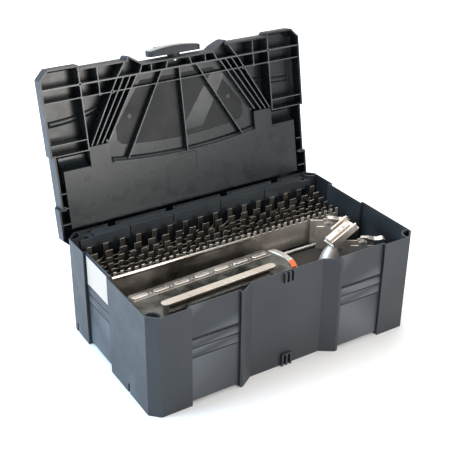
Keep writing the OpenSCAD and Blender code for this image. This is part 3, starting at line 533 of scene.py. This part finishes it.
def crease_group():
    """Marks the edges that turn by more than CREASE_ANGLE as sharp, and leaves the others smooth."""
    group = mesh_group("crease")
    angle = group.nodes.new("GeometryNodeInputMeshEdgeAngle")
    steep = group.nodes.new("ShaderNodeMath")
    steep.operation = "GREATER_THAN"
    steep.inputs[1].default_value = CREASE_ANGLE
    crisp = group.nodes.new("GeometryNodeSetShadeSmooth")
    crisp.domain = "EDGE"
    crisp.inputs["Shade Smooth"].default_value = False
    group.links.new(angle.outputs["Unsigned Angle"], steep.inputs[0])
    group.links.new(steep.outputs["Value"], crisp.inputs["Selection"])
    link_chain(group, crisp)
    return group


def round_edges():
    """Welds, flattens and rounds each CAD node."""
    group = weld_group()
    for name, piece in NODES.items():
        piece.modifiers.new("weld", "NODES").node_group = group
        # the ledge keeps its triangles, since one big face would cover its notches
        if name != "hinge_ledge":
            flat = piece.modifiers.new("flat", "DECIMATE")
            flat.decimate_type = "DISSOLVE"
            flat.angle_limit = FLAT_ANGLE
        finish_edges(piece, ROUNDING.get(name, SMALL_ROUNDING))


def finish_edges(piece, width):
    """Rounds the sharp edges by width, marks creases, and weights the shading by face size."""
    bevel = piece.modifiers.new("round", "BEVEL")
    bevel.width = width
    bevel.segments = 2
    bevel.limit_method = "ANGLE"
    bevel.angle_limit = BEVEL_ANGLE
    piece.modifiers.new("crease", "NODES").node_group = CREASE
    piece.modifiers.new("shade", "WEIGHTED_NORMAL").keep_sharp = True


# ---- pieces made here ----
def add_piece(name, mesh_edit, body, finish, width=0.0):
    """Turns the edited mesh into a piece that rides a body, with its corners rounded by width."""
    bmesh.ops.recalc_face_normals(mesh_edit, faces=mesh_edit.faces)
    mesh = bpy.data.meshes.new(name)
    mesh_edit.to_mesh(mesh)
    mesh_edit.free()
    for face in mesh.polygons:
        face.use_smooth = True
    piece = bpy.data.objects.new(name, mesh)
    bpy.context.scene.collection.objects.link(piece)
    mesh.materials.append(PAINTS[finish])
    if width:
        finish_edges(piece, width)
    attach(piece, body)


def prism(mesh_edit, outline, height, place):
    """A closed outline, drawn in X and Y, raised by height and put in its place."""
    low = [mesh_edit.verts.new(place @ Vector((x, y, 0))) for x, y in outline]
    high = [mesh_edit.verts.new(place @ Vector((x, y, height))) for x, y in outline]
    mesh_edit.faces.new(low[::-1])
    mesh_edit.faces.new(high)
    for i in range(len(outline)):
        j = (i + 1) % len(outline)
        mesh_edit.faces.new((low[i], low[j], high[j], high[i]))


def ring(mesh_edit, profile, place, steps=32):
    """A closed profile of (radius, height) points turned about Z."""
    rows = []
    for i in range(steps):
        turn = math.tau * i / steps
        points = [Vector((r * math.cos(turn), r * math.sin(turn), h)) for r, h in profile]
        rows.append([mesh_edit.verts.new(place @ point) for point in points])
    for i in range(steps):
        row, after = rows[i], rows[(i + 1) % steps]
        for j in range(len(profile)):
            k = (j + 1) % len(profile)
            mesh_edit.faces.new((row[j], row[k], after[k], after[j]))


def sweep(mesh_edit, rows):
    """A solid skin over closed rows of points, shut at both ends."""
    made = [[mesh_edit.verts.new(point) for point in row] for row in rows]
    for row, after in zip(made, made[1:]):
        for j in range(len(row)):
            k = (j + 1) % len(row)
            mesh_edit.faces.new((row[j], row[k], after[k], after[j]))
    mesh_edit.faces.new(made[0])
    mesh_edit.faces.new(made[-1][::-1])


def screw_thread():
    """A V thread wound on the cradle's steel rod."""
    low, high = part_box("screw_rod")
    pitch, depth, sunk, steps = 0.0023, 0.0007, 0.0003, 18
    # half the thread's width, in pitches
    half = 0.42
    radius = (high[2] - low[2]) / 2
    middle = Vector((0, (low[1] + high[1]) / 2, (low[2] + high[2]) / 2))
    turns = int((high[0] - low[0] - pitch) / pitch)
    rows = []
    for i in range(turns * steps + 1):
        turn = math.tau * i / steps
        along = low[0] + pitch * (0.5 + i / steps)
        row = []
        for shift, lift in ((-half, -sunk), (0, depth), (half, -sunk)):
            r = radius + lift
            point = Vector((along + shift * pitch, r * math.cos(turn), r * math.sin(turn)))
            row.append(middle + point)
        rows.append(row)
    mesh_edit = bmesh.new()
    sweep(mesh_edit, rows)
    add_piece("rod_thread", mesh_edit, "cradle", "plain_steel")


def label_frame():
    """A thin raised frame around the card in the left side."""
    low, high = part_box("label_card")
    rim, rise = 0.0016, 0.0006
    mesh_edit = bmesh.new()
    y0, y1, z0, z1 = low[1] - rim, high[1] + rim, low[2] - rim, high[2] + rim
    uprights = ((y0, low[1], z0, z1), (high[1], y1, z0, z1))
    bars = ((low[1], high[1], z0, low[2]), (low[1], high[1], high[2], z1))
    place = Matrix.Translation((high[0], 0, 0)) @ Matrix.Rotation(math.radians(-90), 4, "Y")
    for a, b, c, d in uprights + bars:
        prism(mesh_edit, [(c, a), (d, a), (d, b), (c, b)], high[0] - low[0] + rise, place)
    add_piece("label_frame", mesh_edit, "base", "shell_plastic", 0.0002)


def plate_hem():
    """The rolled top edge of the plain blade, which leans back and shines."""
    low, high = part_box("smooth_blade")
    front, top = low[1], high[2]
    length, middle_y, middle_z = 0.261, 0.0008, -0.003
    profile = [(-0.0002, -0.0060), (-0.0010, -0.0046), (-0.0008, -0.0028), (-0.0002, -0.0010),
               (0.0007, 0.0001), (0.0020, 0.0003), (0.0026, -0.0006), (0.0009, -0.0060)]
    # how far along the blade, and how full the profile is there
    fullness = ((0, 0.3), (0.0006, 0.8), (0.0018, 1.0), (length - 0.0006, 1.0), (length, 0.6))
    mesh_edit = bmesh.new()
    rows = []
    for along, grow in fullness:
        row = []
        for y, z in profile:
            shape_y = middle_y + (y - middle_y) * grow
            shape_z = middle_z + (z - middle_z) * grow
            row.append(Vector((low[0] + along, front + shape_y, top + shape_z)))
        rows.append(row)
    sweep(mesh_edit, rows)
    add_piece("plate_hem", mesh_edit, "plain_blade", "bright_steel")


def groove_teeth():
    """Fine upright ribs in the wide groove of both front panels."""
    x_from, x_to, pitch, tooth = 0.0965, 0.1785, 0.0030, 0.0011
    y_back, stand_out = -HALF_D + 0.0077, 0.0017
    z_low, z_high = 0.1152, 0.1198
    count = round((x_to - x_from) / pitch)
    for side, word in ((-1, "left"), (1, "right")):
        mesh_edit = bmesh.new()
        for i in range(count + 1):
            x = side * (x_from + (x_to - x_from) * i / count)
            y_front = y_back - stand_out
            outline = [(x - tooth / 2, y_back), (x + tooth / 2, y_back),
                       (x + tooth / 3, y_front), (x - tooth / 3, y_front)]
            prism(mesh_edit, outline, z_high - z_low, Matrix.Translation((0, 0, z_low)))
        add_piece("groove_teeth_" + word, mesh_edit, "base", "shell_plastic")


def rim_hatch():
    """Slanted ribs along the shelf behind the hinge line."""
    shelf, top = RIM - 0.0034, RIM - 0.0008
    y_front, y_back, slant = HALF_D - 0.0088, HALF_D - 0.0034, 0.0022
    pitch, rib, arm_half, reach = 0.0034, 0.0013, 0.0085, 0.203
    arms = (-0.165, -0.055, 0.055, 0.165)
    mesh_edit = bmesh.new()
    for i in range(int(2 * reach / pitch)):
        x = -reach + i * pitch
        if any(abs(x + slant / 2 - arm) < arm_half + rib + slant for arm in arms):
            continue
        outline = [(x, y_front), (x + rib, y_front),
                   (x + rib + slant, y_back), (x + slant, y_back)]
        prism(mesh_edit, outline, top - shelf, Matrix.Translation((0, 0, shelf)))
    add_piece("rim_hatch", mesh_edit, "base", "ledge_plastic")


def ejector_marks():
    """Low rings that the mould's ejector pins left on the lid's inner panel."""
    face = RIM + 0.004
    profile = [(0.0036, -0.0001), (0.0037, 0.0003), (0.0042, 0.0003), (0.0043, -0.0001)]
    marks = ((-0.189, 0.038), (-0.098, 0.073), (0.086, 0.074), (0.176, 0.037))
    flip = Matrix.Rotation(math.pi, 4, "X")
    mesh_edit = bmesh.new()
    for x, y in marks:
        ring(mesh_edit, profile, LID_IN @ Matrix.Translation((x, y, face)) @ flip)
    add_piece("ejector_marks", mesh_edit, "lid", "inner_plastic")


def smooth_patch():
    """The slanted patch of smoother plastic behind the handle plate."""
    face, rise = RIM + 0.0128, 0.0004
    outline = [(0.065, -0.094), (0.095, -0.091), (0.041, -0.006), (-0.004, -0.004)]
    mesh_edit = bmesh.new()
    prism(mesh_edit, outline, rise, LID_IN @ Matrix.Translation((0, 0, face)))
    add_piece("smooth_patch", mesh_edit, "lid", "smooth_plastic", 0.0001)


def rib_bosses():
    """Small hollow pegs where the lid's long ribs cross."""
    foot, top = RIM + 0.029, RIM + 0.0012
    bore, outside, blunt, y, steps = 0.0012, 0.0030, 0.0004, -0.096, 20
    height = foot - top
    profile = [(bore, 0), (outside, 0), (outside, height - blunt), (outside - blunt, height), (bore, height)]
    flip = Matrix.Rotation(math.pi, 4, "X")
    mesh_edit = bmesh.new()
    for x in (-0.181, -0.149, 0.149, 0.181):
        ring(mesh_edit, profile, LID_IN @ Matrix.Translation((x, y, foot)) @ flip, steps)
    add_piece("rib_bosses", mesh_edit, "lid", "rib_plastic")


def panel_fillet():
    """The inner panel's curved edge, rounded down to the floor behind it."""
    half, middle_y, sag = 0.1425, 0.032, 0.011
    face, reach, fall = RIM + 0.004, 0.008, 0.008
    behind, below, half_steps, bend_steps = 0.001, 0.0002, 20, 8
    turns = [math.radians(90) * j / bend_steps for j in range(bend_steps + 1)]
    rows = []
    for i in range(2 * half_steps + 1):
        across = -1 + i / half_steps
        x, y = across * half, middle_y - sag * across * across
        row = [in_lid(x, y - reach * math.sin(t), face + fall * (1 - math.cos(t))) for t in turns]
        row.append(in_lid(x, y + behind, face + fall))
        row.append(in_lid(x, y + behind, face + below))
        rows.append(row)
    mesh_edit = bmesh.new()
    sweep(mesh_edit, rows)
    add_piece("panel_fillet", mesh_edit, "lid", "inner_plastic")


def floor_bands():
    """A low curved band on the lid's floor in each front corner."""
    floor, rise, width = RIM + 0.0295, 0.0014, 0.011
    x_end, x_length, y_end, bend, steps = 0.236, 0.094, -0.056, 0.013, 16
    # across the band, as parts of its width and rise
    corners = ((-0.5, 0), (-0.42, -1), (0.42, -1), (0.5, 0))
    for side, word in ((-1, "left"), (1, "right")):
        rows = []
        for i in range(steps + 1):
            part = i / steps
            x, y = side * (x_end - x_length * part), y_end - bend * part * part
            rows.append([in_lid(x, y + a * width, floor + b * rise) for a, b in corners])
        mesh_edit = bmesh.new()
        sweep(mesh_edit, rows)
        add_piece("floor_band_" + word, mesh_edit, "lid", "inner_plastic")


make_camera()
make_studio()
PAINTS = paint_nodes()
CREASE = crease_group()
round_edges()
screw_thread()
label_frame()
plate_hem()
groove_teeth()
rim_hatch()
ejector_marks()
panel_fillet()
floor_bands()
rib_bosses()
smooth_patch()
